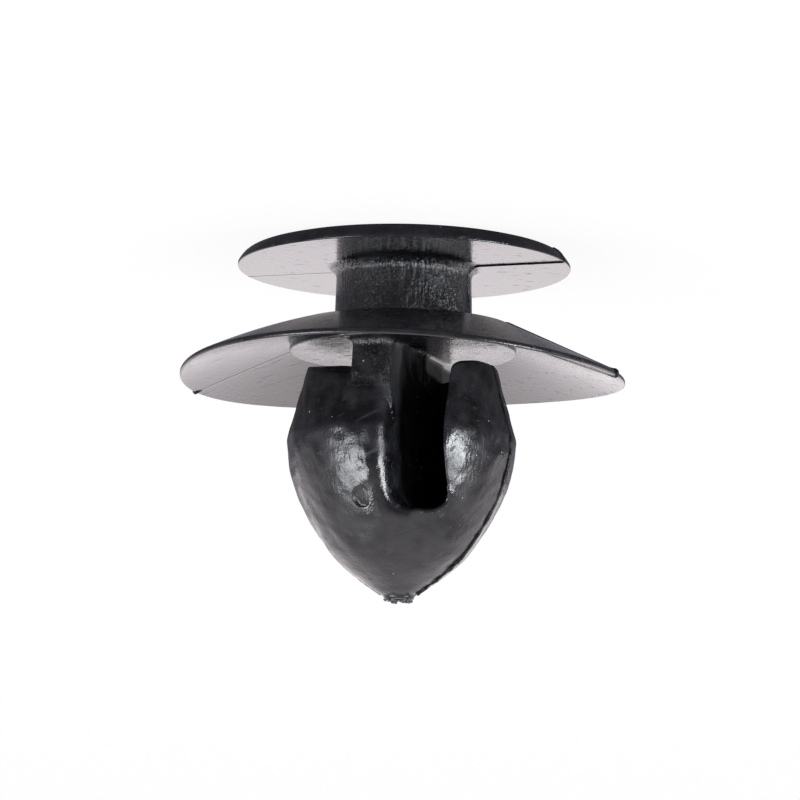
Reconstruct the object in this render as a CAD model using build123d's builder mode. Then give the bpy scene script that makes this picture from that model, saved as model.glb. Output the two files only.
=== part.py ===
"""One-piece moulded push-in clip for a door trim panel.

The clip stands on its head: z = 0 is the flat top of the head and +Z runs to the
tip, so the slotted bulb points up. X and Y are the mould's own directions: the two
mould halves open along Y and meet in the plane Y = 0. Millimetres throughout.
"""

import os
from math import cos, pi, sin

from build123d import *

# Head, the disc that the trim panel's keyhole slot holds
head_radius = 7.5
head_flat_radius = 6.7
head_thickness = 0.8
head_edge = 0.15
head_crown_radius = 1.6
head_root_fillet = 0.5

# Neck between the head and the skirt, a little narrower at the head
neck_radius = 3.1
neck_length = 2.67
neck_draft = 0.06

# Hub and sealing skirt
hub_radius = 4.9
hub_thickness = 1.2
skirt_radius = 10.0
skirt_rim_thickness = 0.25
skirt_root_thickness = 0.8
skirt_root_radius = 4.7
skirt_rise = 2.1
skirt_warp = 0.3
boss_radius = 5.1

# Stem web, the blade that carries the bulb
web_thickness = 2.0
web_half_length = 4.35
web_nose_radius = 0.5
web_merge_depth = 2.2
web_root_fillet = 0.4

# Bulb, measured as radius and depth beyond the boss face
bulb_root_radius = 4.06
knee_radius = 5.12
knee_depth = 3.95
knee_fillet = 0.6
belly_radius = 5.15
belly_depth = 6.0
belly_fillet = 4.5
shoulder_radius = 2.83
shoulder_depth = 9.53
shoulder_fillet = 4.0
tip_radius = 0.72
tip_depth = 11.0

# Tops of the wings: level over the middle, then falling towards the web's ends
wing_top_depth = 0.68
wing_top_half_length = 1.8
wing_top_fall = 0.33

# Pockets on both sides of the web, one open to each mould half
pocket_width = 2.15
pocket_depth = 7.5
pocket_floor_radius = 1.0
pocket_wall = 0.95

# Broken gate stub at the tip
gate_radius = 0.68
gate_height = 0.3

# Places that follow from the sizes above
hub_face = head_thickness + neck_length
boss_face = hub_face + hub_thickness
core_height = hub_face + skirt_rim_thickness
rim_height = hub_face + skirt_rise
slot_inner = web_thickness / 2
slot_outer = slot_inner + pocket_width
reach = skirt_radius
rim_points = 8


def at(depth: float) -> float:
    """Height of a point that lies this deep beyond the boss face."""
    return boss_face + depth


def cone_radius(depth: float) -> float:
    """Radius of the bulb's upper cone, which runs from the boss to the knee."""
    return bulb_root_radius + (knee_radius - bulb_root_radius) * depth / knee_depth


def ring(radius: float, height: float, warp: float = 0) -> Edge:
    """Closed curve that is raised over the X axis and lowered over the Y axis."""
    turns = [2 * pi * step / rim_points for step in range(rim_points)]
    points = [
        (radius * cos(turn), radius * sin(turn), height + warp * cos(2 * turn))
        for turn in turns
    ]
    return Edge.make_spline(points, periodic=True)


# Head, neck and boss are one turned profile, drawn in the XZ plane; between the neck
# and the boss it runs inside the skirt
with BuildPart() as stem:
    with BuildSketch(Plane.XZ):
        with BuildLine():
            crown = Line((0, 0), (head_flat_radius, 0))
            bevel = RadiusArc(
                crown @ 1,
                (head_radius, head_thickness - head_edge),
                -head_crown_radius,
            )
            edge = Line(bevel @ 1, (head_radius, head_thickness))
            underside = Line(edge @ 1, (neck_radius - neck_draft, head_thickness))
            shank = Line(underside @ 1, (neck_radius, hub_face))
            core = Line(shank @ 1, (neck_radius, core_height))
            ledge = Line(core @ 1, (boss_radius, core_height))
            step = Line(ledge @ 1, (boss_radius, boss_face))
            face = Line(step @ 1, (0, boss_face))
            Line(face @ 1, (0, 0))
        make_face()
    revolve(axis=Axis.Z)
    neck_ring = stem.edges().filter_by(GeomType.CIRCLE).filter_by(
        lambda edge: abs(edge.radius - neck_radius + neck_draft) < neck_draft / 2
    )
    fillet(neck_ring, head_root_fillet)

# Hub and sealing skirt: a thin cone with straight generators, warped like a saddle
hub_ring = ring(hub_radius, hub_face)
outer_ring = ring(skirt_radius, rim_height, skirt_warp)
under_ring = ring(skirt_radius, rim_height + skirt_rim_thickness, skirt_warp)
root_ring = ring(skirt_root_radius, hub_face + skirt_root_thickness)
skirt_faces = [
    Face(Wire(hub_ring)),
    Face.make_surface_from_curves(hub_ring, outer_ring),
    Face.make_surface_from_curves(outer_ring, under_ring),
    Face.make_surface_from_curves(under_ring, root_ring),
    Face(Wire(root_ring)),
]
skirt = Solid(Shell(skirt_faces))

# The bulb's outline, whole across the axis; it starts inside the hub
with BuildSketch(Plane.XZ) as outline:
    with BuildLine():
        side_points = [
            (cone_radius(-hub_thickness), hub_face),
            (knee_radius, at(knee_depth)),
            (belly_radius, at(belly_depth)),
            (shoulder_radius, at(shoulder_depth)),
            (tip_radius, at(tip_depth)),
        ]
        right_side = FilletPolyline(
            side_points, radius=[knee_fillet, belly_fillet, shoulder_fillet]
        )
        mirror(right_side, Plane.YZ)
        Line(right_side @ 1, (-tip_radius, at(tip_depth)))
        Line(right_side @ 0, (-cone_radius(-hub_thickness), hub_face))
    make_face()

# The bulb's outer form
with BuildPart() as bulb:
    with BuildSketch(Plane.XZ):
        add(outline.sketch)
        split(bisect_by=Plane.YZ)
    revolve(axis=Axis.Z)

# Room inside the wall that closes a pocket at its far end
with BuildPart() as hollow:
    with BuildSketch(Plane.XZ):
        add(outline.sketch)
        offset(amount=-pocket_wall)
        split(bisect_by=Plane.YZ)
    revolve(axis=Axis.Z)

# The front pocket: open to the front half of the mould, closed behind
with BuildPart() as pocket:
    with BuildSketch(Plane.XZ) as slot_shape:
        with BuildLine():
            slot_line = FilletPolyline(
                (-slot_inner, hub_face),
                (-slot_inner, at(pocket_depth)),
                (-slot_outer, at(pocket_depth)),
                (-slot_outer, hub_face),
                radius=pocket_floor_radius,
            )
            Line(slot_line @ 1, slot_line @ 0)
        make_face()
    extrude(amount=-reach)
    add(hollow.part, mode=Mode.INTERSECT)
    extrude(slot_shape.sketch, amount=reach)

# What is cleared above the wings, so that their tops fall towards the web's ends
with BuildPart() as clearing:
    with BuildSketch(Plane.YZ):
        with BuildLine():
            top_line = Polyline(
                (0, at(wing_top_depth)),
                (wing_top_half_length, at(wing_top_depth)),
                (reach, at(wing_top_depth + wing_top_fall * (reach - wing_top_half_length))),
                (reach, hub_face),
                (0, hub_face),
            )
            mirror(top_line, Plane.YZ)
        make_face()
    extrude(amount=reach, both=True)

# The two wings: each mould half cuts one pocket, and the rear one is a half turn on
with BuildPart() as wings:
    add(bulb.part)
    for cut in (pocket.part, Rotation(0, 0, 180) * pocket.part, clearing.part):
        add(cut, mode=Mode.SUBTRACT)

# The stem web: its rounded ends stand a little out of the bulb above the wings
with BuildPart() as web:
    with BuildSketch(Plane.YZ):
        with BuildLine():
            nose_line = Line(
                (web_half_length, boss_face),
                (cone_radius(web_merge_depth), at(web_merge_depth)),
            )
            mirror(nose_line, Plane.YZ)
            Line(nose_line @ 0, (-web_half_length, boss_face))
            Line(nose_line @ 1, (-cone_radius(web_merge_depth), at(web_merge_depth)))
        make_face()
    extrude(amount=slot_inner, both=True)
    nose_edges = web.edges().filter_by(Axis.X, reverse=True).filter_by(
        lambda edge: abs(edge.tangent_at(0).Z) > 0.5
    )
    fillet(nose_edges, web_nose_radius)

# The broken stub of the gate
with BuildPart() as gate:
    with BuildSketch(Plane.XY.offset(at(tip_depth))):
        Circle(gate_radius)
    extrude(amount=gate_height)

# The whole clip, with a small fillet where the web leaves the boss
with BuildPart() as panel_clip:
    add(stem.part)
    add(web.part)
    boss_edges = panel_clip.edges().group_by(
        lambda edge: abs(edge.center().Z - boss_face) < head_edge
    )[-1]
    web_root = [edge for edge in boss_edges if edge.length < 2 * web_half_length]
    fillet(web_root, web_root_fillet)
    add(skirt)
    add(wings.part)
    add(gate.part)

panel_clip.part.label = "panel_clip"

os.makedirs("parts", exist_ok=True)
export_step(panel_clip.part, "parts/panel_clip.step")
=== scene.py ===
"""Door panel clip: a one-piece black moulding that stands on its head, seen close up.

The clip is one moulded piece. Its flange (head, neck, hub and sealing skirt) is a turned
mesh, and its bulb (boss, web and both sprung wings) is a surface drawn where a signed
distance is zero. Lengths in the classes are millimetres, meshes are metres, and both
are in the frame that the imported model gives.
"""

import logging
import math
from dataclasses import dataclass, field
from enum import Enum

import bmesh
import bpy
import numpy as np
from mathutils import Matrix, Vector

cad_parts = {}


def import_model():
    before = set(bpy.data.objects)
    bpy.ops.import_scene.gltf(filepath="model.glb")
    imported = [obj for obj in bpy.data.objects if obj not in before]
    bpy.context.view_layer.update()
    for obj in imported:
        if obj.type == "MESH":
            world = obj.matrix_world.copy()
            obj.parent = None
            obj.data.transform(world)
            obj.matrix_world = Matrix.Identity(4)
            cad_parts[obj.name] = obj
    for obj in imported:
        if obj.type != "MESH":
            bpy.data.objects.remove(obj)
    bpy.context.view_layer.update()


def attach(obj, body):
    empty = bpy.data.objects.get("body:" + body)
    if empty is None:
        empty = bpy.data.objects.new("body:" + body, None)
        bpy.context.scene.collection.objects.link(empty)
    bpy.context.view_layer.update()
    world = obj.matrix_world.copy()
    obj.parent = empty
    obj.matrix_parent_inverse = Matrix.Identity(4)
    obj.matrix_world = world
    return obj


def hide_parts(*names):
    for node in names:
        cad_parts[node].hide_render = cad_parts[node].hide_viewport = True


Array = np.ndarray
Pair = tuple[float, float]
Triple = tuple[float, float, float]
Colour = tuple[float, float, float, float]
Object = bpy.types.Object
Material = bpy.types.Material
Socket = bpy.types.NodeSocket

LOG = logging.getLogger("clip")
MM = 0.001
NODE = "panel_clip"
BODY = "root"
FULL_TURN = 2 * math.pi


@dataclass(frozen=True)
class ClipSizes:
    """Real sizes of the clip, in millimetres, with the names that its drawing uses."""

    head_radius: float = 7.5
    head_flat_radius: float = 6.7
    head_thickness: float = 0.8
    head_edge: float = 0.15
    head_root_fillet: float = 0.5
    neck_radius: float = 3.1
    neck_length: float = 2.67
    neck_draft: float = 0.06
    hub_radius: float = 4.9
    hub_thickness: float = 1.2
    skirt_radius: float = 10.0
    skirt_rim_thickness: float = 0.25
    skirt_root_thickness: float = 0.8
    skirt_rise: float = 2.1
    skirt_warp: float = 0.3
    boss_radius: float = 5.1
    web_thickness: float = 2.0
    web_half_length: float = 4.35
    web_nose_radius: float = 0.5
    web_merge_depth: float = 2.2
    web_root_fillet: float = 0.4
    bulb_root_radius: float = 4.06
    knee_radius: float = 5.12
    knee_depth: float = 3.95
    belly_radius: float = 5.15
    belly_depth: float = 6.0
    shoulder_radius: float = 2.83
    shoulder_depth: float = 9.53
    tip_radius: float = 0.72
    tip_depth: float = 11.0
    wing_top_depth: float = 0.68
    wing_top_half_length: float = 1.8
    wing_top_fall: float = 0.33
    pocket_width: float = 2.15
    pocket_depth: float = 7.5
    pocket_floor_radius: float = 1.0
    pocket_wall: float = 0.95
    gate_radius: float = 0.68
    gate_height: float = 0.3

    @property
    def hub_face(self) -> float:
        """Height of the hub's face, where the neck meets it."""
        return self.head_thickness + self.neck_length

    @property
    def boss_face(self) -> float:
        """Height of the boss's face, which the web grows from."""
        return self.hub_face + self.hub_thickness

    @property
    def slot_inner(self) -> float:
        """Distance from the axis to a pocket's inner side."""
        return self.web_thickness / 2

    @property
    def slot_outer(self) -> float:
        """Distance from the axis to a pocket's outer side."""
        return self.slot_inner + self.pocket_width

    @property
    def slot_middle(self) -> float:
        """Distance from the axis to the middle of a pocket."""
        return (self.slot_inner + self.slot_outer) / 2

    @property
    def skirt_reach(self) -> float:
        """How far the skirt reaches beyond the hub."""
        return self.skirt_radius - self.hub_radius


SIZES = ClipSizes()


def fade(value: Array, start: float, length: float) -> Array:
    """Share that grows from 0 at the start to 1 over this length."""
    return np.clip((value - start) / length, 0, 1)


def ease(share: Array) -> Array:
    """Smooths a share from 0 to 1 at both ends."""
    return share * share * (3 - 2 * share)


def smooth_min(first: Array, second: Array, width: float) -> Array:
    """Lower of two fields; the corner between them is rounded from this far off."""
    overlap = np.maximum(width - np.abs(first - second), 0.0) / width
    return np.minimum(first, second) - overlap * overlap * width / 4


def smooth_max(first: Array, second: Array, width: float) -> Array:
    """Higher of two fields, with the corner between them rounded."""
    return -smooth_min(-first, -second, width)


def rounded_corner(first: Array, second: Array, radius: float) -> Array:
    """Signed distance to a square corner with a round of this radius.

    Args:
        first: Signed distance to one side, negative inside.
        second: Signed distance to the other side, negative inside.
        radius: Radius of the round.

    Returns:
        The signed distance, negative inside.
    """
    across, along = first + radius, second + radius
    outside = np.hypot(np.maximum(across, 0.0), np.maximum(along, 0.0))
    return outside + np.minimum(np.maximum(across, along), 0.0) - radius


def unit(rows: Array) -> Array:
    """Scales each row to the length 1."""
    return rows / np.maximum(np.linalg.norm(rows, axis=-1, keepdims=True), 1e-9)


def chain(start: int, count: int) -> Array:
    """Edges that join this many points, numbered from start, one after the other."""
    return np.stack([np.arange(start, start + count - 1)] * 2, axis=1) + (0, 1)


class Half(Enum):
    """The two halves of the mould, by the side of y = 0 that each one shapes."""

    FRONT = -1
    REAR = 1


@dataclass(frozen=True)
class Ripple:
    """Smooth unevenness made of a few plane waves with fixed directions."""

    size: float
    seed: int
    height: float
    waves: int = 12
    shortest: float = 0.7
    longest: float = 1.6

    def at(self, points: Array) -> Array:
        """How far the surface stands out at each point.

        Args:
            points: Array whose last axis holds x, y and z in millimetres.

        Returns:
            The unevenness at the points.
        """
        rng = np.random.default_rng(self.seed)
        total = np.zeros(points.shape[:-1])
        for _ in range(self.waves):
            direction = rng.normal(size=3)
            direction /= np.linalg.norm(direction)
            pace = FULL_TURN / (self.size * rng.uniform(self.shortest, self.longest))
            total += np.sin(points @ direction * pace + rng.uniform(0, FULL_TURN))
        return self.height * total / math.sqrt(self.waves)


@dataclass(frozen=True)
class PartingLine:
    """The low ridge where the two mould halves meet, in the plane y = 0."""

    height: float = 0.06
    half_width: float = 0.06
    faint_share: float = 0.25

    def rise(self, x: Array, y: Array) -> Array:
        """How far the ridge stands out; it is fainter on the side where x is positive."""
        side = np.where(x > 0, self.faint_share, 1.0)
        return side * self.height * np.exp(-((y / self.half_width) ** 2))


@dataclass(frozen=True)
class PinMark:
    """Round mark that an ejector pin leaves, as a tilted shallow disc pressed along y."""

    x: float = 0.32
    depth: float = 7.06
    radius: float = 0.48
    press: float = 0.13
    wall: float = 0.13
    middle: float = 0.6
    tilt: float = 0.8

    def sink(self, x: Array, y: Array, depth: Array) -> Array:
        """How far the surface sinks at each point of the front half.

        Args:
            x: Places along x.
            y: Places along y, negative in front.
            depth: Depths beyond the boss face.

        Returns:
            The sink in millimetres.
        """
        away = np.hypot(x - self.x, depth - self.depth)
        slope = self.middle + self.tilt * (x - self.x) / self.radius
        share = fade(-away, -self.radius, self.wall) * np.clip(slope, 0.1, 1.4)
        return np.where(y < 0, share * self.press, 0.0)


@dataclass
class Bulb:
    """Boss, web and the two wings of the bulb, as one signed distance.

    A front pocket is open towards -y and closed behind, and the rear one is its
    half-turn copy, so the section through both wings is a letter S.
    """

    sizes: ClipSizes = SIZES
    parting: PartingLine = field(default_factory=PartingLine)
    pin_mark: PinMark = field(default_factory=PinMark)
    ripples: tuple[Ripple, ...] = (Ripple(1.5, 11, 0.017), Ripple(0.6, 12, 0.007))
    side_blends: tuple[float, ...] = (0.05, 1.4, 0.64)
    side_scale: float = 0.85
    tip_blend: float = 0.2
    top_blend: float = 0.8
    top_edge: float = 0.1
    halves_blend: float = 0.24
    free_edge: float = 0.12
    free_corner: float = 0.3
    web_edge: float = 0.95
    web_edge_fade: Pair = (-1.3, 1.2)
    web_blend: float = 0.08
    web_inset: Pair = (0.35, 0.6)
    web_cover: float = 0.1
    lip_start: float = 2.0
    lip_depth: float = 1.0
    lip_slope: float = 1.2
    lip_blend: float = 0.2
    mouth: float = -1.0
    pocket_blend: float = 0.3
    sharp_nose_radius: float = 0.2
    patch_start: float = 0.3
    patch_depth: float = 0.9
    patch_corner: float = 0.4
    patch_fade: float = 0.08
    patch_polish: float = 0.9
    floor_edge: float = 0.38
    floor_edge_fade: Pair = (-0.9, 0.7)
    draft: float = 0.018
    gate_sink: float = 1.0
    gate_round: float = 0.1
    gate_blend: float = 0.12
    boss_round: float = 0.06
    # Dullness roughens the plastic and, as painted shade, lowers its sheen: fully deep in the
    # pockets, by this share above the knee, and less along the band by the pocket's edge.
    dull_and_shade_share: float = 0.55
    dull_and_shade_depth: Pair = (0.8, 0.5)
    bright_band: Pair = (1.4, 0.45)
    fine_step: float = 0.04
    fine_reach: float = 0.21
    step: float = 0.096
    tall_step: float = 0.145
    boss_sink: float = 0.7
    margin: float = 0.2

    def outer_radius(self, depth: Array) -> Array:
        """Radius of the bulb without its ridge.

        Args:
            depth: Depths beyond the boss face.

        Returns:
            The radius at each depth.
        """
        s = self.sizes
        radii = (s.bulb_root_radius, s.knee_radius, s.belly_radius, s.shoulder_radius, s.tip_radius)
        depths = (0.0, s.knee_depth, s.belly_depth, s.shoulder_depth, s.tip_depth)
        radius = None
        for index, blend in enumerate((0.0, *self.side_blends)):
            slope = (radii[index + 1] - radii[index]) / (depths[index + 1] - depths[index])
            line = radii[index] + slope * (depth - depths[index])
            radius = line if radius is None else smooth_min(radius, line, blend)
        return radius

    def wing_tops(self, x: Array, y: Array, depth: Array) -> Array:
        """Signed distance to what one mould half leaves above the wings.

        Both tops are level over the middle and fall towards the web's ends, and the
        free wing's edge along the pocket is rounded.

        Args:
            x: Places along x.
            y: Places along y.
            depth: Depths beyond the boss face.

        Returns:
            The distance, positive above the tops.
        """
        s = self.sizes
        beyond = smooth_max(np.abs(y) - s.wing_top_half_length, 0 * y, self.top_blend)
        top = s.wing_top_depth + s.wing_top_fall * beyond
        free = rounded_corner(x + s.slot_outer, top - depth, self.free_corner)
        rest = top + np.where(x < -s.slot_middle, 1.5 * self.free_corner, 0.0)
        return np.minimum(free, rest - depth)

    def pocket(self, x: Array, y: Array, depth: Array) -> Array:
        """Signed distance to the front pocket, a little wider where it opens.

        Args:
            x: Places along x.
            y: Places along y.
            depth: Depths beyond the boss face.

        Returns:
            The distance, negative in the pocket.
        """
        s = self.sizes
        spread = self.draft * np.maximum(-y, 0.0)
        across = np.abs(x + s.slot_middle) - s.pocket_width / 2 - spread
        slot = rounded_corner(across, depth - s.pocket_depth, s.pocket_floor_radius)
        inside = np.hypot(x, y) - (self.outer_radius(depth) - s.pocket_wall)
        lip = self.lip_start + self.lip_slope * np.maximum(depth - self.lip_depth, 0.0)
        inside = smooth_max(inside, y - lip, self.lip_blend)
        length = smooth_min(y - self.mouth, inside, self.pocket_blend)
        return smooth_max(slot, length, self.pocket_blend)

    def pocket_edge(self, x: Array, depth: Array) -> Array:
        """How far the pocket's edge is rounded: much at the web, little at the wing."""
        s = self.sizes
        web_side = ease(fade(x + s.slot_inner, *self.web_edge_fade))
        web_side = web_side * (self.web_edge - self.free_edge)
        floor_side = ease(fade(depth - s.pocket_depth, *self.floor_edge_fade))
        floor_side = floor_side * (self.floor_edge - self.free_edge)
        return self.free_edge + np.maximum(web_side, floor_side)

    def web(self, x: Array, y: Array, depth: Array) -> Array:
        """Signed distance to the stem web, which thins a little away from its middle.

        Args:
            x: Places along x.
            y: Places along y.
            depth: Depths beyond the boss face.

        Returns:
            The distance, negative in the web.
        """
        s = self.sizes
        merge_radius = float(self.outer_radius(np.array([s.web_merge_depth]))[0])
        slope = (merge_radius - s.web_half_length) / s.web_merge_depth
        before = s.web_merge_depth - depth
        above, below = self.web_inset
        spare = before * np.where(before > 0, above, below) - self.web_cover
        bound = np.hypot(x, y) - self.outer_radius(depth) - spare
        side = np.abs(x) - s.slot_inner + self.draft * np.abs(y)
        side = side - self.parting.rise(x, y) / 2
        nose = np.where(x * y < 0, self.sharp_nose_radius, s.web_nose_radius)
        blade = rounded_corner(side, np.abs(y) - s.web_half_length - slope * depth, nose)
        return np.maximum(np.maximum(blade, bound), depth - s.pocket_depth)

    def half(self, which: Half, points: tuple, body: Array) -> Array:
        """Cuts one mould half's pocket and its pin mark into the bulb.

        Args:
            which: The mould half that cuts.
            points: Arrays of x, y and depth.
            body: Signed distance so far.

        Returns:
            The signed distance with the pocket cut.
        """
        x, y, depth = -which.value * points[0], -which.value * points[1], points[2]
        body = body + self.pin_mark.sink(x, y, depth)
        return smooth_max(body, -self.pocket(x, y, depth), self.pocket_edge(x, depth))

    def places(self, points: Array) -> tuple[Array, Array, Array, Array]:
        """Each point's x, y, depth beyond the boss face, and distance from the axis."""
        x, y, z = np.moveaxis(points, -1, 0)
        return x, y, z - self.sizes.boss_face, np.hypot(x, y)

    def distance(self, points: Array) -> Array:
        """Signed distance to the moulding at each point.

        Args:
            points: Array whose last axis holds x, y and z in millimetres.

        Returns:
            The distance, negative inside the plastic.
        """
        s = self.sizes
        x, y, depth, radius = self.places(points)
        uneven = sum(ripple.at(points) for ripple in self.ripples)
        body = radius - self.outer_radius(depth) - self.parting.rise(x, y) - uneven
        body = smooth_max(self.side_scale * body, depth - s.tip_depth, self.tip_blend)
        share = ease(fade(y, -self.halves_blend / 2, self.halves_blend))
        near, far = self.wing_tops(x, y, depth), self.wing_tops(-x, y, depth)
        body = smooth_max(body, (1 - share) * near + share * far, self.top_edge)
        for which in Half:
            body = self.half(which, (x, y, depth), body)
        body = smooth_min(body, self.web(x, y, depth), self.web_blend)
        beyond = depth - s.tip_depth
        gate = rounded_corner(radius - s.gate_radius, beyond - s.gate_height / 2, self.gate_round)
        body = smooth_min(body, np.maximum(gate, -beyond - self.gate_sink), self.gate_blend)
        boss = rounded_corner(radius - s.boss_radius, depth, self.boss_round)
        boss = np.maximum(boss, -depth - self.boss_sink)
        return smooth_min(body, boss, s.web_root_fillet)

    def polish(self, points: Array) -> Array:
        """How polished the mould was: fully at the boss face, not on the bulb's outside.

        Args:
            points: Vertices in millimetres.

        Returns:
            The polish from 0 to 1 at each vertex.
        """
        s = self.sizes
        x, y, depth, radius = self.places(points)
        web = (np.abs(x) < s.slot_inner + 0.1) & (radius < s.web_half_length + 0.05)
        along = -y * np.sign(x)
        patch = rounded_corner(self.patch_start - along, depth - self.patch_depth, self.patch_corner)
        web_side = np.where(web, fade(-patch, 0, self.patch_fade), 0.0)
        return np.maximum(fade(-depth, -self.boss_round, 0.1), self.patch_polish * web_side)

    def dullness_and_shade(self, points: Array) -> Array:
        """Painted shade and dullness: how much of the sheen is lost, all in the pockets, half above
        the knee.

        Args:
            points: Vertices in millimetres.

        Returns:
            The dullness and painted shade, from 0 to 1 at each vertex.
        """
        x, y, depth, radius = self.places(points)
        # Painted shade: the sheen is lowered above the knee and fully deep in the pockets.
        above = fade(-depth, -self.sizes.knee_depth - 0.05, 0.15) * (depth > 0.3)
        deep = fade(self.outer_radius(depth) - radius, *self.dull_and_shade_depth) * (depth > 0.1)
        middle, half_width = self.bright_band
        band = np.exp(-(((x * np.sign(y) - middle) / half_width) ** 2))
        return np.maximum(self.dull_and_shade_share * above * (1 - band), deep)

    def tooling(self, points: Array) -> Array:
        """How strong the tool marks are: fully on the web's ends, weakly elsewhere."""
        s = self.sizes
        x, y, depth, _ = self.places(points)
        ends = (np.abs(x) < s.slot_inner + 0.05) & (depth < s.web_merge_depth)
        return 0.8 * ends * fade(np.abs(y) - s.web_half_length, -0.4, 0.3) + 0.15

    def grid(self) -> tuple[Array, Array, Array]:
        """Grid lines along x, y and z: close together where the form is fine.

        Returns:
            The places of the lines along each axis.
        """
        s = self.sizes
        reach = s.knee_radius + 0.25
        x = np.arange(-reach, reach + self.step, self.step)
        fine = np.arange(-self.fine_reach, self.fine_reach + self.fine_step / 2, self.fine_step)
        coarse = np.arange(self.fine_reach + self.step, reach + self.step, self.step)
        low = s.boss_face - self.boss_sink - self.margin
        knee = s.boss_face + s.knee_depth
        floor = s.boss_face + s.pocket_depth - 1.6
        high = s.boss_face + s.tip_depth + s.gate_height + self.margin
        stops = (low, knee - 1.55, knee - 0.35, knee + 0.35, floor, high)
        steps = (self.step, self.tall_step) * 3
        z = [np.arange(*run) for run in zip(stops, stops[1:], steps)]
        return x, np.concatenate([-coarse[::-1], fine, coarse]), np.concatenate(z)


@dataclass
class SurfaceNet:
    """Turns a signed distance into a closed mesh with one point for each crossed cell."""

    source: Bulb
    settle_rounds: int = 4
    probe: float = 0.01
    first_limit: float = 0.05
    last_limit: float = 0.02
    ring: tuple[tuple[int, int], ...] = ((1, 1), (0, 1), (0, 0), (1, 0))

    def gradient(self, points: Array) -> Array:
        """Slope of the distance at each point, by central differences."""
        shifts = self.probe * np.eye(3)
        slopes = [
            self.source.distance(points + shift) - self.source.distance(points - shift)
            for shift in shifts
        ]
        return np.stack(slopes, axis=-1) / (2 * self.probe)

    def settle(self, points: Array, limit: float) -> Array:
        """Moves each point along the slope onto the surface.

        Args:
            points: Starting places.
            limit: The furthest that one round may move a point.

        Returns:
            The settled places.
        """
        for _ in range(self.settle_rounds):
            slope = self.gradient(points)
            size = np.maximum((slope**2).sum(axis=-1), 0.05)
            move = (self.source.distance(points) / size)[:, None] * slope
            length = np.linalg.norm(move, axis=1, keepdims=True)
            points = points - move * np.minimum(1.0, limit / np.maximum(length, 1e-9))
        return points

    def relax(self, points: Array, faces: Array) -> Array:
        """Evens out the mesh along the surface and settles it again.

        Args:
            points: Places on the surface.
            faces: Four-sided faces.

        Returns:
            The new places.
        """
        total = np.zeros_like(points)
        count = np.zeros(len(points))
        for here, following in zip(faces.T, np.roll(faces, -1, axis=1).T):
            for target, neighbour in ((here, following), (following, here)):
                np.add.at(total, target, points[neighbour])
                np.add.at(count, target, 1)
        slope = unit(self.gradient(points))
        move = total / np.maximum(count, 1)[:, None] - points
        move -= (move * slope).sum(axis=1, keepdims=True) * slope
        return self.settle(points + 0.5 * move, self.last_limit)

    def crossings(self, axis: int, corners: Array, value: Array) -> tuple[Array, list, Array]:
        """Finds where the grid lines along one axis cross the surface.

        Args:
            axis: 0, 1 or 2 for x, y or z.
            corners: Places of the grid's corners.
            value: Signed distance at each corner.

        Returns:
            The crossings, the four cells round each one in ring order, and whether the
            line leaves the plastic there.
        """
        size = value.shape[axis]
        low, high = (np.take(value, range(at, at + size - 1), axis) for at in (0, 1))
        change = (low < 0) != (high < 0)
        place = np.argwhere(change)
        start, end = low[change], high[change]
        steps = np.eye(3, dtype=int)
        first, second = (corners[tuple(spot.T)] for spot in (place, place + steps[axis]))
        crossing = first + (start / (start - end))[:, None] * (second - first)
        aside, along = (steps[other] for other in range(3) if other != axis)
        cells = [place - back * aside - down * along for back, down in self.ring]
        return crossing, cells, start < 0

    def build(self) -> tuple[Array, Array, Array]:
        """Finds the crossed cells and joins them.

        Returns:
            Vertices, four-sided faces and vertex normals.
        """
        lines = self.source.grid()
        corners = np.stack(np.meshgrid(*lines, indexing="ij"), axis=-1)
        value = self.source.distance(corners)
        count = np.zeros([len(line) - 1 for line in lines])
        total = np.zeros((*count.shape, 3))
        found = []
        for axis in range(3):
            crossing, cells, leaving = self.crossings(axis, corners, value)
            # Inside the hub the web runs out of the grid, so its lower end stays open
            inside = [cell.min(axis=1) >= 0 for cell in cells]
            for cell, here in zip(cells, inside):
                spot = tuple(cell[here].T)
                np.add.at(total, spot, crossing[here])
                np.add.at(count, spot, 1)
            whole = np.all(inside, axis=0)
            flip = leaving if axis == 1 else ~leaving
            found.append(([tuple(cell[whole].T) for cell in cells], flip[whole]))
        crossed = count > 0
        index = np.cumsum(crossed).reshape(crossed.shape) - 1
        faces = []
        for cells, flip in found:
            quads = np.stack([index[cell] for cell in cells], axis=1)
            quads[flip] = quads[flip][:, ::-1]
            faces.append(quads)
        faces = np.concatenate(faces)
        points = self.settle(total[crossed] / count[crossed][:, None], self.first_limit)
        points = self.relax(points, faces)
        return points, faces, unit(self.gradient(points))


def add_object(name: str, data: bpy.types.ID) -> Object:
    """Adds an object that shows this mesh, camera or lamp to the scene."""
    added = bpy.data.objects.new(name, data)
    bpy.context.scene.collection.objects.link(added)
    return added


def make_object(name: str, points: Array, faces: Array, normals: Array | None = None) -> Object:
    """Makes a mesh object from arrays in millimetres.

    Args:
        name: Name of the object and its mesh.
        points: Vertices in millimetres.
        faces: Vertex numbers, one row for each face, or for each edge if two wide.
        normals: Vertex normals of a smooth mesh, or None to leave them to the mesh.

    Returns:
        The new object, linked to the scene.
    """
    mesh = bpy.data.meshes.new(name)
    rows = faces.tolist()
    edges, polygons = (rows, []) if faces.shape[1] == 2 else ([], rows)
    mesh.from_pydata((points * MM).tolist(), edges, polygons)
    mesh.validate()
    if normals is not None:
        mesh.shade_smooth()
        mesh.normals_split_custom_set_from_vertices(normals.tolist())
    return add_object(name, mesh)


def store(mesh: bpy.types.Mesh, values: dict[str, Array]) -> None:
    """Stores attributes of a mesh's vertices.

    Args:
        mesh: The mesh.
        values: By name, one number or one row of three for each vertex.
    """
    for name, rows in values.items():
        kind, key = ("FLOAT", "value") if rows.ndim == 1 else ("FLOAT_VECTOR", "vector")
        attribute = mesh.attributes.new(name, kind, "POINT")
        attribute.data.foreach_set(key, rows.astype(np.float32).ravel())


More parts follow.
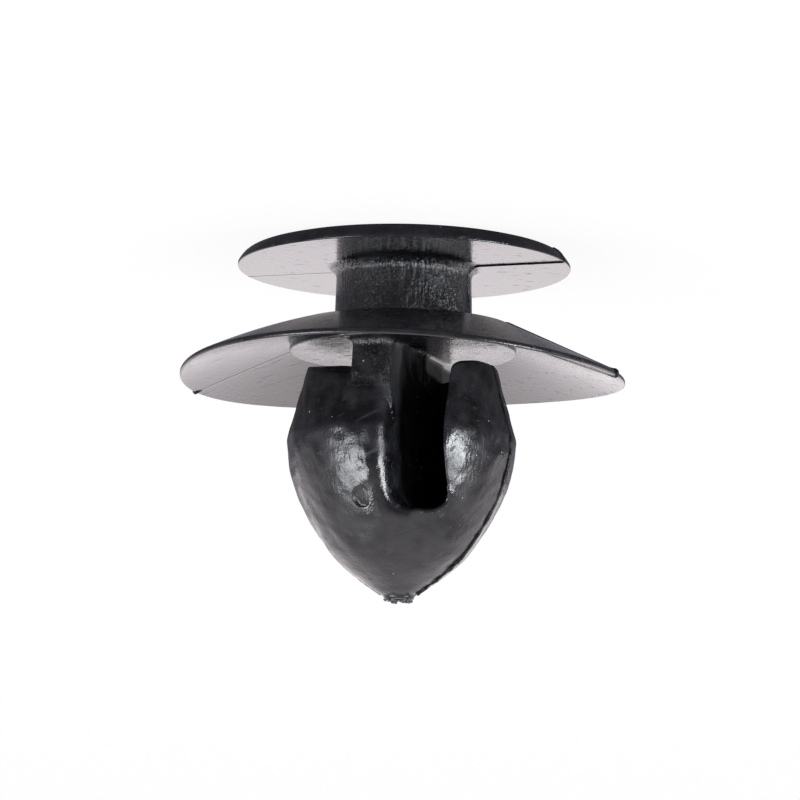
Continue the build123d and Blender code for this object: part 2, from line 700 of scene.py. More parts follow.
@dataclass
class Wiring:
    """Short ways to add and join the nodes of one tree."""

    tree: bpy.types.NodeTree

    def join(self, value: object, socket: Socket) -> None:
        """Links a socket to this input, or sets the input to a plain value."""
        if isinstance(value, Socket):
            self.tree.links.new(value, socket)
        else:
            socket.default_value = value

    def add(self, kind: str, inputs: dict | None = None, **settings: object) -> bpy.types.Node:
        """Adds a node.

        Args:
            kind: Type of the node.
            inputs: Values or sockets for its inputs, by name or number.
            **settings: Its other settings.

        Returns:
            The node.
        """
        node = self.tree.nodes.new(kind)
        for name, value in settings.items():
            setattr(node, name, value)
        for name, value in (inputs or {}).items():
            self.join(value, node.inputs[name])
        return node

    def out(self, kind: str, inputs: dict | None = None, **settings: object) -> Socket:
        """Adds a node and gives its first output."""
        return self.add(kind, inputs, **settings).outputs[0]

    def maths(self, operation: str, *values: object) -> Socket:
        """Adds a Math node and gives its result."""
        return self.out("ShaderNodeMath", dict(enumerate(values)), operation=operation)

    def product(self, first: object, *others: object) -> Socket:
        """Multiplies all the values."""
        for other in others:
            first = self.maths("MULTIPLY", first, other)
        return first

    def ramp(self, value: Socket, low: float, high: float, start: object, end: object) -> Socket:
        """Maps the range from low to high to start and end, and holds it at the ends."""
        return self.out("ShaderNodeMapRange", {0: value, 1: low, 2: high, 3: start, 4: end})

    def mix(self, share: Socket, first: object, second: object) -> Socket:
        """Mixes two colours, each a socket or a plain colour."""
        inputs = {"Factor": share, "A": first, "B": second}
        return self.add("ShaderNodeMix", inputs, data_type="RGBA").outputs["Result"]

    def jitter(self, noise: bpy.types.Node, size: Socket) -> Socket:
        """Turns a noise's colour into an offset of up to half this size either way."""
        inputs = {0: noise.outputs["Color"], 1: (0.5, 0.5, 0.5)}
        centred = self.out("ShaderNodeVectorMath", inputs, operation="SUBTRACT")
        inputs = {0: centred, "Scale": size}
        return self.out("ShaderNodeVectorMath", inputs, operation="SCALE")


def new_material(name: str) -> tuple[Material, Wiring, bpy.types.Nodes]:
    """Makes a material with nodes, and gives its wiring and its nodes too."""
    material = bpy.data.materials.new(name)
    material.use_nodes = True
    return material, Wiring(material.node_tree), material.node_tree.nodes


@dataclass
class Pattern:
    """A Geometry Nodes tree with named inputs, run on an object and made real.

    The last input is the material of all that the tree makes.
    """

    name: str
    values: dict[str, object]
    wiring: Wiring = field(init=False)
    geometry: Socket = field(init=False)
    given: list[Socket] = field(init=False)

    def __post_init__(self) -> None:
        """Starts the tree: a mesh goes in and comes out, and each value has its input."""
        self.wiring = Wiring(bpy.data.node_groups.new(self.name, "GeometryNodeTree"))
        self._socket("Geometry", "Geometry", "INPUT")
        self._socket("Geometry", "Geometry", "OUTPUT")
        entry = self.wiring.add("NodeGroupInput")
        kinds = {int: "Int", float: "Float"}
        for name, value in self.values.items():
            self._socket(name, kinds.get(type(value), "Material"), "INPUT")
        self.geometry = entry.outputs["Geometry"]
        self.given = [entry.outputs[name] for name in self.values]

    def _socket(self, name: str, kind: str, way: str) -> None:
        """Adds an input or an output to the tree."""
        interface = self.wiring.tree.interface
        interface.new_socket(name, in_out=way, socket_type=f"NodeSocket{kind}")

    def run(self, start: Object, geometry: Socket) -> Object:
        """Ends the tree, runs it on an object and swaps the object's mesh for the result.

        Args:
            start: Object whose mesh goes in.
            geometry: What the tree has made; its instances become mesh.

        Returns:
            The same object with the finished mesh, closed outwards, and no modifier.
        """
        w = self.wiring
        real = w.out("GeometryNodeRealizeInstances", {0: geometry})
        inputs = {"Geometry": real, "Material": self.given[-1]}
        w.add("NodeGroupOutput", {0: w.out("GeometryNodeSetMaterial", inputs)})
        modifier = start.modifiers.new(self.name, "NODES")
        modifier.node_group = w.tree
        for item in w.tree.interface.items_tree:
            if item.in_out == "INPUT" and item.name in self.values:
                modifier[item.identifier] = self.values[item.name]
        graph = bpy.context.evaluated_depsgraph_get()
        made = bpy.data.meshes.new_from_object(start.evaluated_get(graph))
        start.modifiers.remove(modifier)
        start.data = made
        made.name = start.name
        shape = bmesh.new()
        shape.from_mesh(made)
        bmesh.ops.recalc_face_normals(shape, faces=shape.faces)
        shape.to_mesh(made)
        shape.free()
        return start


@dataclass
class Flange:
    """Head, neck, hub and skirt: one outline turned round the axis, warped at the skirt."""

    sizes: ClipSizes = SIZES
    parting: PartingLine = field(default_factory=PartingLine)
    turns: int = 288
    crowding: float = 0.75
    arc_step: float = 0.05
    guard: float = 0.02
    longest: float = 0.35
    dome_height: float = 0.28
    dome_turn: float = math.radians(-43.5)
    dome_tightness: float = 6.0
    boss_dip: float = 0.15
    weld: float = 5e-7
    zone_polish: Triple = (0.55, 0.5, 0.95)
    skirt_polish: float = 0.75
    ridge_fade: Pair = (2.5, 0.25)
    dome_profile: Pair = (2.2, 1.7)

    def corners(self) -> list[Triple]:
        """Corners of the outline as radius, height and the round on the corner."""
        s = self.sizes
        rim = s.hub_face + s.skirt_rise
        root = s.hub_face + s.skirt_root_thickness
        return [
            (0.0, 0.0, 0.0),
            (s.head_flat_radius - 0.3, 0.0, 1.2),
            (s.head_radius - 0.28, 0.22, 0.9),
            (s.head_radius, s.head_thickness - s.head_edge, 0.05),
            (s.head_radius, s.head_thickness, 0.04),
            (s.neck_radius - s.neck_draft, s.head_thickness, s.head_root_fillet),
            (s.neck_radius, s.hub_face, 0.15),
            (s.hub_radius, s.hub_face, 0.5),
            (s.skirt_radius, rim, 0.1),
            (s.skirt_radius, rim + s.skirt_rim_thickness, 0.08),
            (s.boss_radius, root, 0.2),
            (s.boss_radius - 0.4, root - self.boss_dip, 0.0),
            (0.0, root - self.boss_dip, 0.0),
        ]

    def arc(self, before: Array, corner: Array, after: Array) -> list[Array]:
        """Rounds one corner of the outline.

        Args:
            before: The corner before it, as radius, height and round.
            corner: The corner.
            after: The corner after it.

        Returns:
            Points along the round, with a guard point beyond each end.
        """
        here, radius = corner[:2], corner[2]
        if radius == 0:
            return [here]
        back, ahead = unit(before[:2] - here), unit(after[:2] - here)
        half = math.acos(float(np.clip(back @ ahead, -1, 1))) / 2
        reach = radius / math.tan(half)
        centre = here + unit(back + ahead) * radius / math.sin(half)
        sweep = math.pi - 2 * half
        pieces = max(4, round(radius * sweep / self.arc_step))
        first, last = here + back * reach - centre, here + ahead * reach - centre
        shares = np.linspace(0, 1, pieces + 1)[:, None]
        spokes = np.sin((1 - shares) * sweep) * first + np.sin(shares * sweep) * last
        points = centre + spokes / math.sin(sweep)
        guards = [here + way * (reach + self.guard) for way in (back, ahead)]
        return [guards[0], *points, guards[1]]

    def outline(self) -> Array:
        """Points of the outline: its corners are rounded and its long runs divided."""
        corners = np.array(self.corners())
        points = [corners[0, :2]]
        for trio in zip(corners, corners[1:], corners[2:]):
            points += self.arc(*trio)
        points.append(corners[-1, :2])
        out = points[:1]
        for start, end in zip(points, points[1:]):
            pieces = max(1, math.ceil(np.linalg.norm(end - start) / self.longest))
            out += [start + (end - start) * piece / pieces for piece in range(1, pieces + 1)]
        return np.array(out)

    def polish(self, outline: Array) -> Array:
        """How polished the mould was along the outline.

        Args:
            outline: Points as radius and height.

        Returns:
            The polish at each point, from 0 for satin to 1 for a mirror.
        """
        s = self.sizes
        radius, height = outline.T
        underside = (height > s.head_thickness - 0.02) & (height < s.hub_face - 1.4)
        head = underside * fade(radius, s.neck_radius + 0.1, 0.4)
        slope = s.skirt_rise / s.skirt_reach
        top = height - (s.hub_face + (radius - s.hub_radius) * slope)
        skirt = (radius > s.boss_radius - 0.5) & (top > 0.15) & (height > s.hub_face)
        under = (height > s.hub_face + 0.02) & (top < 0.1) & (radius > s.hub_radius)
        bevel = (height < s.head_thickness - 0.01) & (radius > s.head_flat_radius - 0.2)
        neck = (radius < s.neck_radius + 0.1) & (height > s.head_thickness + 0.1)
        rest = np.select([neck, bevel, under], self.zone_polish, 0.0)
        return np.maximum(np.maximum(head, self.skirt_polish * skirt), rest)

    def tooling(self, outline: Array) -> Array:
        """How strong the tool marks are along the outline: fully on the neck."""
        s = self.sizes
        radius, height = outline.T
        high = (height > s.head_thickness + 0.05) & (height < s.hub_face + 0.05)
        return np.where(high & (radius < s.neck_radius + 0.35), 1.0, 0.1)

    def skirt_share(self, outline: Array) -> Array:
        """How far out each point of the outline lies on the skirt, from 0 to 1."""
        share = fade(outline[:, 0], self.sizes.hub_radius, self.sizes.skirt_reach)
        return share * (outline[:, 1] > self.sizes.head_thickness + 0.5)

    def dome_share(self, share: Array) -> Array:
        """How strongly the dome presses each share of the skirt: most before its rim."""
        return share * (self.dome_profile[0] - self.dome_profile[1] * share)

    def seam(self, side: int) -> Array:
        """Where the outline lies in the plane y = 0, with the skirt's warp.

        Args:
            side: 1 for the side where x is positive, -1 for the other.

        Returns:
            Points in millimetres, in the outline's order.
        """
        outline = self.outline()
        share = self.skirt_share(outline)
        near = max(0.0, side * math.cos(self.dome_turn)) ** self.dome_tightness
        bulge = near * self.dome_height * self.dome_share(share)
        height = outline[:, 1] + self.sizes.skirt_warp * share - bulge
        return np.stack([side * outline[:, 0], 0 * height, height], axis=1)

    def turned(self, made: Pattern) -> Socket:
        """Fills the tree: it turns the outline, warps the skirt and raises the ridge.

        Args:
            made: The tree.

        Returns:
            The closed flange.
        """
        w = made.wiring
        turns, crowding, warp, dome, dome_turn, tightness, ridge, half_width, faint, _ = made.given
        size = w.add("GeometryNodeAttributeDomainSize", {"Geometry": made.geometry})
        columns = w.maths("ADD", turns, 1)
        inputs = {"Vertices X": size.outputs["Point Count"], "Vertices Y": columns}
        grid = w.out("GeometryNodeMeshGrid", inputs)
        index = w.out("GeometryNodeInputIndex")
        row = w.maths("FLOOR", w.maths("DIVIDE", w.maths("ADD", index, 0.5), columns))
        column = w.maths("SUBTRACT", index, w.product(row, columns))
        even = w.product(w.maths("DIVIDE", column, turns), FULL_TURN)
        crowd = w.product(w.maths("SINE", w.product(even, 2)), crowding, 0.5)
        turn = w.maths("SUBTRACT", even, crowd)
        cosine, sine = w.maths("COSINE", turn), w.maths("SINE", turn)

        def sample(value: Socket, kind: str) -> Socket:
            """Reads a value of the outline at this vertex's row."""
            inputs = {"Geometry": made.geometry, "Value": value, "Index": row}
            return w.out("GeometryNodeSampleIndex", inputs, data_type=kind)

        def named(name: str, kind: str = "FLOAT") -> Socket:
            """Reads a named attribute of the outline at this vertex's row."""
            value = w.out("GeometryNodeInputNamedAttribute", {"Name": name}, data_type=kind)
            return sample(value, kind)

        place = sample(w.out("GeometryNodeInputPosition"), "FLOAT_VECTOR")
        place = w.add("ShaderNodeSeparateXYZ", {0: place}).outputs
        out = w.add("ShaderNodeSeparateXYZ", {0: named("out", "FLOAT_VECTOR")}).outputs
        across = w.maths("DIVIDE", w.product(place[0], sine), half_width)
        rise = w.maths("EXPONENT", w.product(across, across, -1))
        side = w.ramp(cosine, -0.1, 0.1, 1.0, faint)
        rise = w.product(rise, ridge, side, named("ridge"))
        radius = w.maths("MULTIPLY_ADD", rise, out[0], place[0])
        height = w.maths("MULTIPLY_ADD", rise, out[2], place[2])
        saddle = w.product(w.maths("COSINE", w.product(turn, 2)), warp)
        height = w.maths("MULTIPLY_ADD", saddle, named("skirt"), height)
        near = w.maths("COSINE", w.maths("SUBTRACT", turn, dome_turn))
        near = w.maths("POWER", w.maths("MAXIMUM", near, 0), tightness)
        height = w.maths("SUBTRACT", height, w.product(near, dome, named("dome")))
        inputs = {0: w.product(radius, cosine), 1: w.product(radius, sine), 2: height}
        inputs = {"Geometry": grid, "Position": w.out("ShaderNodeCombineXYZ", inputs)}
        kept = w.out("GeometryNodeSetPosition", inputs)
        for name in ("polish", "tooling"):
            inputs = {"Geometry": kept, "Name": name, "Value": named(name)}
            kept = w.out("GeometryNodeStoreNamedAttribute", inputs, data_type="FLOAT")
        inputs = {"Geometry": kept, "Distance": self.weld}
        closed = w.out("GeometryNodeMergeByDistance", inputs)
        return w.out("GeometryNodeSetShadeSmooth", {"Geometry": closed})

    def build(self, material: Material) -> Object:
        """Turns the outline into the closed flange.

        Args:
            material: Material of the flange.

        Returns:
            The flange object.
        """
        outline = self.outline()
        radius, height = outline.T
        tangent = unit(np.gradient(outline, axis=0))
        flat = np.zeros(len(outline))
        points = np.stack([radius, flat, height], axis=1)
        start = make_object("flange", points, chain(0, len(outline)))
        share = self.skirt_share(outline)
        marks = {
            "out": np.stack([tangent[:, 1], flat, -tangent[:, 0]], axis=1),
            "skirt": share,
            "dome": self.dome_share(share),
            "ridge": fade(radius, *self.ridge_fade) * (height > self.sizes.head_edge),
            "polish": self.polish(outline),
            "tooling": self.tooling(outline),
        }
        store(start.data, marks)
        values = {
            "Turns": self.turns,
            "Crowding": self.crowding,
            "Skirt Warp": self.sizes.skirt_warp * MM,
            "Dome Height": self.dome_height * MM,
            "Dome Turn": self.dome_turn,
            "Dome Tightness": self.dome_tightness,
            "Ridge Height": self.parting.height * MM,
            "Ridge Half Width": self.parting.half_width * MM,
            "Ridge Faint Share": self.parting.faint_share,
            "Material": material,
        }
        made = Pattern("turned_flange", values)
        return made.run(start, self.turned(made))


@dataclass
class Flash:
    """Thin ragged fin of plastic that leaked out where the two mould halves meet."""

    sizes: ClipSizes = SIZES
    step: float = 0.06
    tear_scale: float = 2600.0
    raggedness: float = 0.6
    wander: float = 1.0
    corners: int = 7
    lean: float = 0.04
    seed: float = 3.0
    rim_width: float = 0.25
    bulb_points: int = 90
    head_girths: Pair = (0.032, 0.014)
    bulb_girths: Pair = (0.1, 0.035)
    outer_girths: Triple = (0.012, 0.05, 0.06)
    inner_girths: Pair = (0.014, 0.08)
    faint_girths: Pair = (0.3, 0.06)

    def girths(self, points: Array, side: int) -> Array:
        """Half width of the fin: stout on one side, faint on the other.

        Args:
            points: Points along the seam, in millimetres.
            side: 1 for the side where x is positive, -1 for the other.

        Returns:
            The half width at each point.
        """
        s = self.sizes
        radius, height = np.abs(points[:, 0]), points[:, 2]
        outer = fade(radius, s.hub_radius, s.skirt_reach)
        rim = np.exp(-(((radius - s.skirt_radius) / self.rim_width) ** 2))
        upper = s.hub_face + (radius - s.hub_radius) * 0.42 + 0.3
        base, spread, lump = self.outer_girths
        skirt = base + spread * outer**2 + lump * rim
        base, lump = self.inner_girths
        skirt = np.where(height > upper, base + lump * rim, skirt)
        head = np.where(height < s.head_thickness + 0.02, *self.head_girths)
        bulb = np.where(height > s.boss_face + s.knee_depth, *self.bulb_girths)
        girth = np.where(height < s.hub_face - 0.2, head, skirt)
        girth = np.where(height > s.boss_face + 0.3 + 2 * rim, bulb, girth)
        share, lump = self.faint_girths
        return girth if side < 0 else share * girth + lump * rim

    def path(self, flange: Flange, bulb: Bulb) -> tuple[Array, Array, Array]:
        """Follows the parting plane down both sides of the clip.

        Args:
            flange: The flange that the fin stands on.
            bulb: The bulb that it goes on along.

        Returns:
            Points, the edges between them, and the fin's half width at each point.
        """
        s = self.sizes
        depth = np.linspace(s.wing_top_depth + 0.15, s.tip_depth - 0.1, self.bulb_points)
        runs, edges, girths, count = [], [], [], 0
        for side in (1, -1):
            seam = flange.seam(side)
            keep = (np.abs(seam[:, 0]) > s.neck_radius - 0.2) & (seam[:, 2] > 0.2)
            spine = [side * bulb.outer_radius(depth), 0 * depth - self.lean, s.boss_face + depth]
            for run in (seam[keep], np.stack(spine, axis=1)):
                runs.append(run)
                edges.append(chain(count, len(run)))
                girths.append(self.girths(run, side))
                count += len(run)
        return np.concatenate(runs), np.concatenate(edges), np.concatenate(girths)

    def swept(self, made: Pattern) -> Socket:
        """Fills the tree: it sweeps a ragged fin along the seam.

        Args:
            made: The tree.

        Returns:
            The fin.
        """
        w = made.wiring
        step, scale, raggedness, wander, corners, seed, _ = made.given
        seam = w.out("GeometryNodeMeshToCurve", {"Mesh": made.geometry})
        inputs = {"Curve": seam, "Length": step}
        even = w.out("GeometryNodeResampleCurve", inputs, mode="LENGTH")
        place = w.out("GeometryNodeInputPosition")
        inputs = {"Vector": place, "W": seed, "Scale": scale, "Detail": 3.0}
        noise = w.add("ShaderNodeTexNoise", inputs, noise_dimensions="4D")
        inputs = {"Name": "girth"}
        girth = w.out("GeometryNodeInputNamedAttribute", inputs, data_type="FLOAT")
        thin, thick = (w.maths(way, 1.0, raggedness) for way in ("SUBTRACT", "ADD"))
        tear = w.ramp(noise.outputs["Fac"], 0.3, 0.7, thin, thick)
        shift = w.jitter(noise, w.product(girth, wander))
        moved = w.out("GeometryNodeSetPosition", {"Geometry": even, "Offset": shift})
        inputs = {"Resolution": corners, "Radius": 1.0}
        ring = w.out("GeometryNodeCurvePrimitiveCircle", inputs)
        inputs = {"Curve": moved, "Profile Curve": ring, "Fill Caps": True}
        inputs["Scale"] = w.product(girth, tear)
        fin = w.out("GeometryNodeCurveToMesh", inputs)
        return w.out("GeometryNodeSetShadeSmooth", {"Geometry": fin})

    def build(self, flange: Flange, bulb: Bulb, material: Material) -> Object:
        """Sweeps the fin along the parting plane.

        Args:
            flange: The flange that the fin stands on.
            bulb: The bulb that it goes on along.
            material: Material of the fin.

        Returns:
            The fin.
        """
        points, edges, girths = self.path(flange, bulb)
        start = make_object("flash", points, edges)
        store(start.data, {"girth": girths * MM})
        values = {
            "Step": self.step * MM,
            "Tear Scale": self.tear_scale,
            "Raggedness": self.raggedness,
            "Wander": self.wander,
            "Corners": self.corners,
            "Seed": self.seed,
            "Material": material,
        }
        made = Pattern("flash_fin", values)
        return made.run(start, self.swept(made))


@dataclass
class GateBreak:
    """Rough crumbs where the gate was torn off the tip."""

    sizes: ClipSizes = SIZES
    crumbs_per_square: float = 26.0
    crumb_radius: float = 0.12
    spread: float = 0.9
    roughness: float = 0.06
    tear_scale: float = 9000.0
    seed: int = 7
    disc_corners: int = 24

    def scattered(self, made: Pattern) -> Socket:
        """Fills the tree: it scatters jagged crumbs over the broken end.

        Args:
            made: The tree.

        Returns:
            The crumbs.
        """
        w = made.wiring
        density, radius, rough, scale, seed, _ = made.given
        inputs = {"Mesh": made.geometry, "Density": density, "Seed": seed}
        points = w.out("GeometryNodeDistributePointsOnFaces", inputs)
        crumb = w.out("GeometryNodeMeshIcoSphere", {"Radius": radius, "Subdivisions": 2})

        def draw(low: tuple, high: tuple, number: object) -> Socket:
            """Draws three numbers between these for each crumb."""
            inputs = {0: low, 1: high, "Seed": number}
            return w.out("FunctionNodeRandomValue", inputs, data_type="FLOAT_VECTOR")

        inputs = {"Points": points, "Instance": crumb}
        inputs["Rotation"] = draw((0.0, 0.0, 0.0), (6.28, 6.28, 6.28), seed)
        inputs["Scale"] = draw((0.5, 0.5, 0.6), (1.5, 1.2, 1.3), w.maths("ADD", seed, 1))
        crumbs = w.out("GeometryNodeInstanceOnPoints", inputs)
        real = w.out("GeometryNodeRealizeInstances", {0: crumbs})
        inputs = {"Vector": w.out("GeometryNodeInputPosition"), "Scale": scale}
        shift = w.jitter(w.add("ShaderNodeTexNoise", inputs), w.product(rough, 4.0))
        return w.out("GeometryNodeSetPosition", {"Geometry": real, "Offset": shift})

    def build(self, material: Material) -> Object:
        """Scatters the crumbs over the end of the stub.

        Args:
            material: Material of the crumbs.

        Returns:
            The crumbs.
        """
        s = self.sizes
        turns = np.linspace(0, FULL_TURN, self.disc_corners, endpoint=False)
        reach = self.spread * s.gate_radius
        height = s.boss_face + s.tip_depth + 0.4 * s.gate_height
        disc = [reach * np.cos(turns), reach * np.sin(turns), 0 * turns + height]
        corners = np.arange(self.disc_corners)[None, :]
        start = make_object("gate_crumbs", np.stack(disc, axis=1), corners)
        values = {
            "Crumb Density": self.crumbs_per_square / MM**2,
            "Crumb Radius": self.crumb_radius * MM,
            "Crumb Roughness": self.roughness * MM,
            "Tear Scale": self.tear_scale,
            "Seed": self.seed,
            "Material": material,
        }
        made = Pattern("gate_crumbs", values)
        return made.run(start, self.scattered(made))


@dataclass(frozen=True)
class BlackPlastic:
    """Black moulded plastic: mirror gloss where the mould is polished, satin elsewhere."""

    colour: Colour = (0.004, 0.004, 0.0052, 1.0)
    pale: Colour = (0.0105, 0.0108, 0.0135, 1.0)
    # Pale specks: dust on the plastic at a small share, and painted glints of broken edges at a
    # large share, as on the torn crumbs.
    dust_and_glint: Colour = (0.4, 0.39, 0.38, 1.0)
    refraction: float = 1.53
    satin: Pair = (0.17, 0.4)
    polished: Pair = (0.05, 0.1)
    cloud_scale: float = 900.0
    grain: float = 0.000012
    grain_scale: float = 8000.0
    streak: float = 0.00011
    streak_scale: float = 6500.0
    tooled_grain: float = 2.6
    # The lower sheen where the dullness mark is high is painted shade: it darkens the pockets and
    # the cone above the knee.
    sheen: float = 0.5
    painted_shade_sheen: float = 0.12
    dull_roughness: float = 0.35
    dust_and_glint_share: float = 0.09
    dust_and_glint_scale: float = 3000.0
    scratch_turn: Triple = (0.5, 0.3, 0.4)
    scratch_scale: float = 3600.0
    scratch_roughness: float = 0.25

    def build(self, name: str) -> Material:
        """Makes the material.

        Args:
            name: Name of the material.

        Returns:
            The material.
        """
        material, w, nodes = new_material(name)
        shader = nodes["Principled BSDF"].inputs
        place = w.add("ShaderNodeTexCoord").outputs["Object"]
        polish, tooling, dullness_and_shade = (
            w.add("ShaderNodeAttribute", attribute_name=mark).outputs["Fac"]
            for mark in ("polish", "tooling", "dullness_and_shade")
        )
        streaks = self.noise(w, place, (1.0, 1.0, 0.2), self.streak_scale)
        grain = self.noise(w, place, (1.0, 1.0, 1.0), self.grain_scale)
        cloud = self.noise(w, place, (1.0, 1.0, 1.0), self.cloud_scale)
        turned = w.out("ShaderNodeMapping", {"Vector": place, "Rotation": self.scratch_turn})
        scratch = self.noise(w, turned, (0.09, 1.0, 1.0), self.scratch_scale, 1.0)
        scratch = w.ramp(scratch, 0.66, 0.72, 0.0, 1.0)
        rough = w.ramp(cloud, 0.38, 0.62, *self.satin)
        gloss = w.ramp(cloud, 0.3, 0.7, *self.polished)
        rough = w.maths("MULTIPLY_ADD", w.maths("SUBTRACT", gloss, rough), polish, rough)
        rough = w.maths("MULTIPLY_ADD", dullness_and_shade, self.dull_roughness, rough)
        rough = w.maths("MULTIPLY_ADD", scratch, self.scratch_roughness, rough)
        # Specks of the pale colour: real dust at a small share, painted glints of broken edges at a
        # large one.
        dust_and_glint = w.add("ShaderNodeTexVoronoi", {"Vector": place, "Scale": self.dust_and_glint_scale}).outputs
        chosen = w.out("ShaderNodeSeparateColor", {0: dust_and_glint["Color"]})
        kept = w.maths("GREATER_THAN", chosen, 1 - self.dust_and_glint_share)
        speck = w.product(w.ramp(dust_and_glint["Distance"], 0.06, 0.12, 1.0, 0.0), kept)
        pale = w.maths("ADD", w.ramp(cloud, 0.4, 0.65, 0.0, 1.0), scratch)
        tone = w.mix(speck, w.mix(pale, self.colour, self.pale), self.dust_and_glint)
        coarse = w.product(grain, w.ramp(tooling, 0.3, 1.0, 1.0, self.tooled_grain))
        inputs = {"Distance": self.grain, "Height": coarse}
        inputs["Strength"] = w.ramp(polish, 0.6, 1.0, 1.0, 0.1)
        fine = w.out("ShaderNodeBump", inputs)
        inputs = {"Distance": self.streak, "Height": streaks, "Strength": tooling, "Normal": fine}
        # Lowering the sheen where the dullness mark is high paints shade into the pockets and above
        # the knee; the roughness it adds is real.
        looks = {
            "IOR": self.refraction,
            "Specular IOR Level": w.ramp(dullness_and_shade, 0.0, 1.0, self.sheen, self.painted_shade_sheen),
            "Roughness": rough,
            "Base Color": tone,
            "Normal": w.out("ShaderNodeBump", inputs),
        }
        for look, value in looks.items():
            w.join(value, shader[look])
        return material

    @staticmethod
    def noise(w: Wiring, place: Socket, stretch: tuple, scale: float, detail: float = 4.0) -> Socket:
        """Adds a noise on Object coordinates.

        Args:
            w: Wiring of the material.
            place: Object coordinates.
            stretch: Scale of each axis; a small one draws the noise out along it.
            scale: Size of the noise, in cycles per metre.
            detail: Number of finer layers.

        Returns:
            The noise, from 0 to 1.
        """
        place = w.out("ShaderNodeMapping", {"Vector": place, "Scale": stretch})
        inputs = {"Vector": place, "Scale": scale, "Detail": detail}
        return w.out("ShaderNodeTexNoise", inputs)


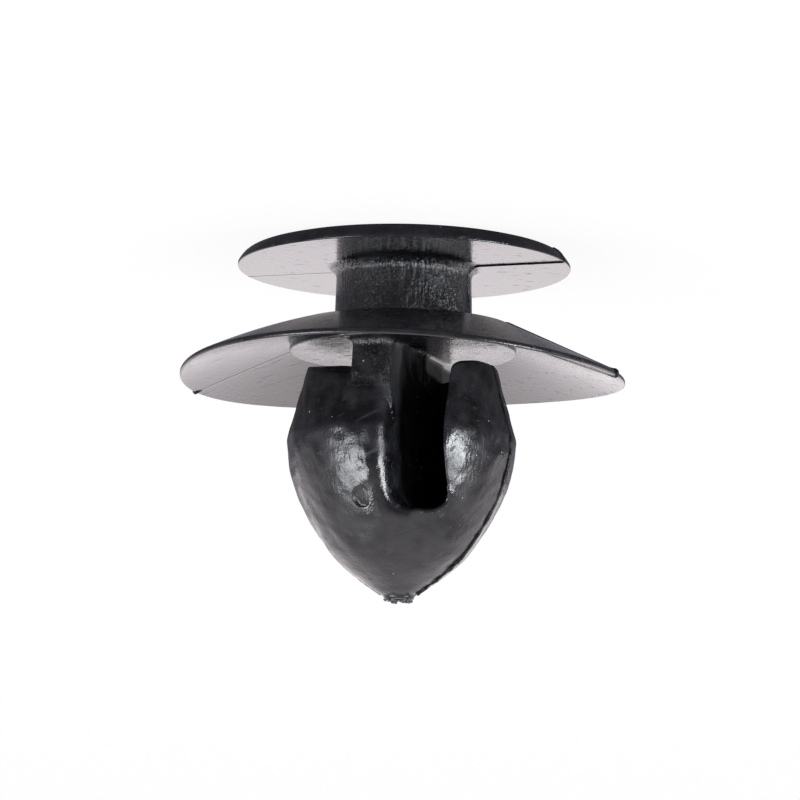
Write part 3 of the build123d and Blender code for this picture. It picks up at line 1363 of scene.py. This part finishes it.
@dataclass
class Studio:
    """White studio: camera, floor, world and soft lamps."""

    sizes: ClipSizes = SIZES
    azimuth: float = 18.5
    elevation: float = 9.893
    roll: float = 0.926
    distance: float = 194.2
    pixels_per_mm: float = 22.22
    frame_pixels: float = 800.0
    boss_pixel: Pair = (402.8, 353.82)
    sensor: float = 36.0
    clip_start: float = 0.01
    ambient: float = 0.14
    rear_glow: float = 1.6
    rear_lift: float = 0.25
    overhead_glow: float = 1.2
    tint: Colour = (1.0, 0.94, 0.97, 1.0)
    white: Colour = (1.0, 1.0, 1.0, 1.0)
    floor_half: float = 3.0
    floor_colour: Colour = (0.75, 0.74, 0.75, 1.0)
    floor_reflected: Colour = (0.17, 0.17, 0.19, 1.0)
    floor_white_share: float = 0.92
    lamp_distance: float = 0.5
    lamp_colour: Triple = (0.93, 0.96, 1.0)

    def way(self, azimuth: float, elevation: float) -> Vector:
        """Direction at this angle to the camera's left and above the floor, in degrees."""
        turn, lift = math.radians(self.azimuth + azimuth), math.radians(elevation)
        level = math.cos(lift)
        return Vector((-math.sin(turn) * level, -math.cos(turn) * level, math.sin(lift)))

    def camera(self) -> None:
        """Stands the camera where the photograph was taken, upside down as the clip is."""
        turn, roll = math.radians(self.azimuth), math.radians(self.roll)
        flat_right = Vector((-math.cos(turn), math.sin(turn), 0))
        out = self.way(0, self.elevation)
        flat_up = out.cross(flat_right)
        right = flat_right * math.cos(roll) + flat_up * math.sin(roll)
        up = flat_up * math.cos(roll) - flat_right * math.sin(roll)
        boss = Vector((0, 0, self.sizes.boss_face))
        middle = self.frame_pixels / 2
        across = (self.boss_pixel[0] - middle) / self.pixels_per_mm
        above = (middle - self.boss_pixel[1]) / self.pixels_per_mm
        target = boss - right * across - up * above
        place = boss + out * self.distance
        back = (place - target).normalized()
        right = up.cross(back).normalized()
        data = bpy.data.cameras.new("camera")
        data.sensor_width = self.sensor
        data.lens = self.sensor * self.pixels_per_mm * self.distance / self.frame_pixels
        data.clip_start = self.clip_start
        camera = add_object("camera", data)
        rotation = Matrix((right, back.cross(right), back)).transposed()
        camera.matrix_world = Matrix.Translation(place * MM) @ rotation.to_4x4()
        bpy.context.scene.camera = camera

    def world(self) -> None:
        """Pale surroundings: brightest behind the clip, dim on the camera's side."""
        world = bpy.data.worlds.new("studio")
        bpy.context.scene.world = world
        world.use_nodes = True
        w = Wiring(world.node_tree)
        back = world.node_tree.nodes["Background"].inputs
        way = w.add("ShaderNodeTexCoord").outputs["Generated"]
        turn = math.radians(self.azimuth)
        inputs = {0: way, 1: (math.sin(turn), math.cos(turn), self.rear_lift)}
        along = w.add("ShaderNodeVectorMath", inputs, operation="DOT_PRODUCT")
        behind = w.ramp(along.outputs["Value"], -0.1, 0.8, 0.0, self.rear_glow)
        above = w.add("ShaderNodeSeparateXYZ", {0: way}).outputs[2]
        overhead = w.ramp(above, 0.1, 0.95, 0.0, self.overhead_glow)
        glow = w.maths("ADD", w.maths("MAXIMUM", behind, overhead), self.ambient)
        seen = w.add("ShaderNodeLightPath").outputs["Is Camera Ray"]
        w.join(w.mix(seen, self.tint, self.white), back["Color"])
        plain = w.maths("SUBTRACT", 1.0, seen)
        w.join(w.maths("MULTIPLY_ADD", plain, glow, seen), back["Strength"])

    def floor(self) -> None:
        """Pale floor that is white to the camera and keeps a faint shadow."""
        square = np.array([(-1, -1, 0), (1, -1, 0), (1, 1, 0), (-1, 1, 0)])
        floor = make_object("floor", square * self.floor_half / MM, np.arange(4)[None, :])
        material, w, nodes = new_material("floor")
        shader = nodes["Principled BSDF"]
        looks = {"Base Color": self.floor_colour, "Roughness": 1.0, "Specular IOR Level": 0.0}
        for look, value in looks.items():
            w.join(value, shader.inputs[look])
        path = w.add("ShaderNodeLightPath").outputs
        dark = w.out("ShaderNodeBsdfDiffuse", {"Color": self.floor_reflected})
        inputs = {0: path["Is Glossy Ray"], 1: shader.outputs[0], 2: dark}
        dimmed = w.out("ShaderNodeMixShader", inputs)
        share = w.product(path["Is Camera Ray"], self.floor_white_share)
        inputs = {0: share, 1: dimmed, 2: w.out("ShaderNodeEmission")}
        w.join(w.out("ShaderNodeMixShader", inputs), nodes["Material Output"].inputs[0])
        floor.data.materials.append(material)

    def lamp(
        self, name: str, azimuth: float, elevation: float, size: Pair, glow: float
    ) -> None:
        """Adds one soft box that faces the clip.

        Args:
            name: Name of the lamp.
            azimuth: Angle from the camera's side, in degrees, to the camera's left.
            elevation: Angle above the floor, in degrees.
            size: Width and height of the lamp, in metres.
            glow: Brightness of its face, in watts for each square metre and steradian.
        """
        data = bpy.data.lights.new(name, "AREA")
        data.shape = "RECTANGLE"
        data.size, data.size_y = size
        data.energy = glow * math.pi * size[0] * size[1]
        data.color = self.lamp_colour
        lamp = add_object(name, data)
        out = self.way(azimuth, elevation)
        lamp.location = out * self.lamp_distance
        lamp.rotation_euler = out.to_track_quat("Z", "Y").to_euler()

    def build(self) -> None:
        """Sets up everything that isn't the clip."""
        self.camera()
        self.world()
        self.floor()
        self.lamp("left_box", 60, 12, (0.15, 0.24), 23)
        self.lamp("right_box", -53, 21, (0.22, 0.26), 12.5)
        bpy.context.scene.view_settings.view_transform = "Standard"


def main() -> None:
    """Loads the frame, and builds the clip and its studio."""
    logging.basicConfig(level=logging.INFO, format="%(name)s: %(message)s")
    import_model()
    Studio().build()
    plastic = BlackPlastic().build("black_plastic")
    thin = BlackPlastic(satin=(0.3, 0.5), sheen=0.2, dust_and_glint_share=0.02).build("flash_plastic")
    # The torn crumbs' many pale specks are painted glints on the broken edges.
    torn = BlackPlastic(
        pale=(0.06, 0.058, 0.06, 1.0), satin=(0.2, 0.5), cloud_scale=9000.0, dust_and_glint_share=0.35
    ).build("torn_plastic")
    form, turned = Bulb(), Flange()
    points, faces, normals = SurfaceNet(form).build()
    bulb = make_object("bulb", points, faces, normals)
    # The dullness mark carries painted shade as well as roughness.
    marks = {mark: getattr(form, mark)(points) for mark in ("polish", "tooling", "dullness_and_shade")}
    store(bulb.data, marks)
    bulb.data.materials.append(plastic)
    flange = turned.build(plastic)
    flash = Flash().build(turned, form, thin)
    crumbs = GateBreak().build(torn)
    for piece in (bulb, flange, flash, crumbs):
        LOG.info("%s: %d faces", piece.name, len(piece.data.polygons))
        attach(piece, BODY)
        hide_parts(NODE)
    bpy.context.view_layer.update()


if __name__ == "__main__":
    main()
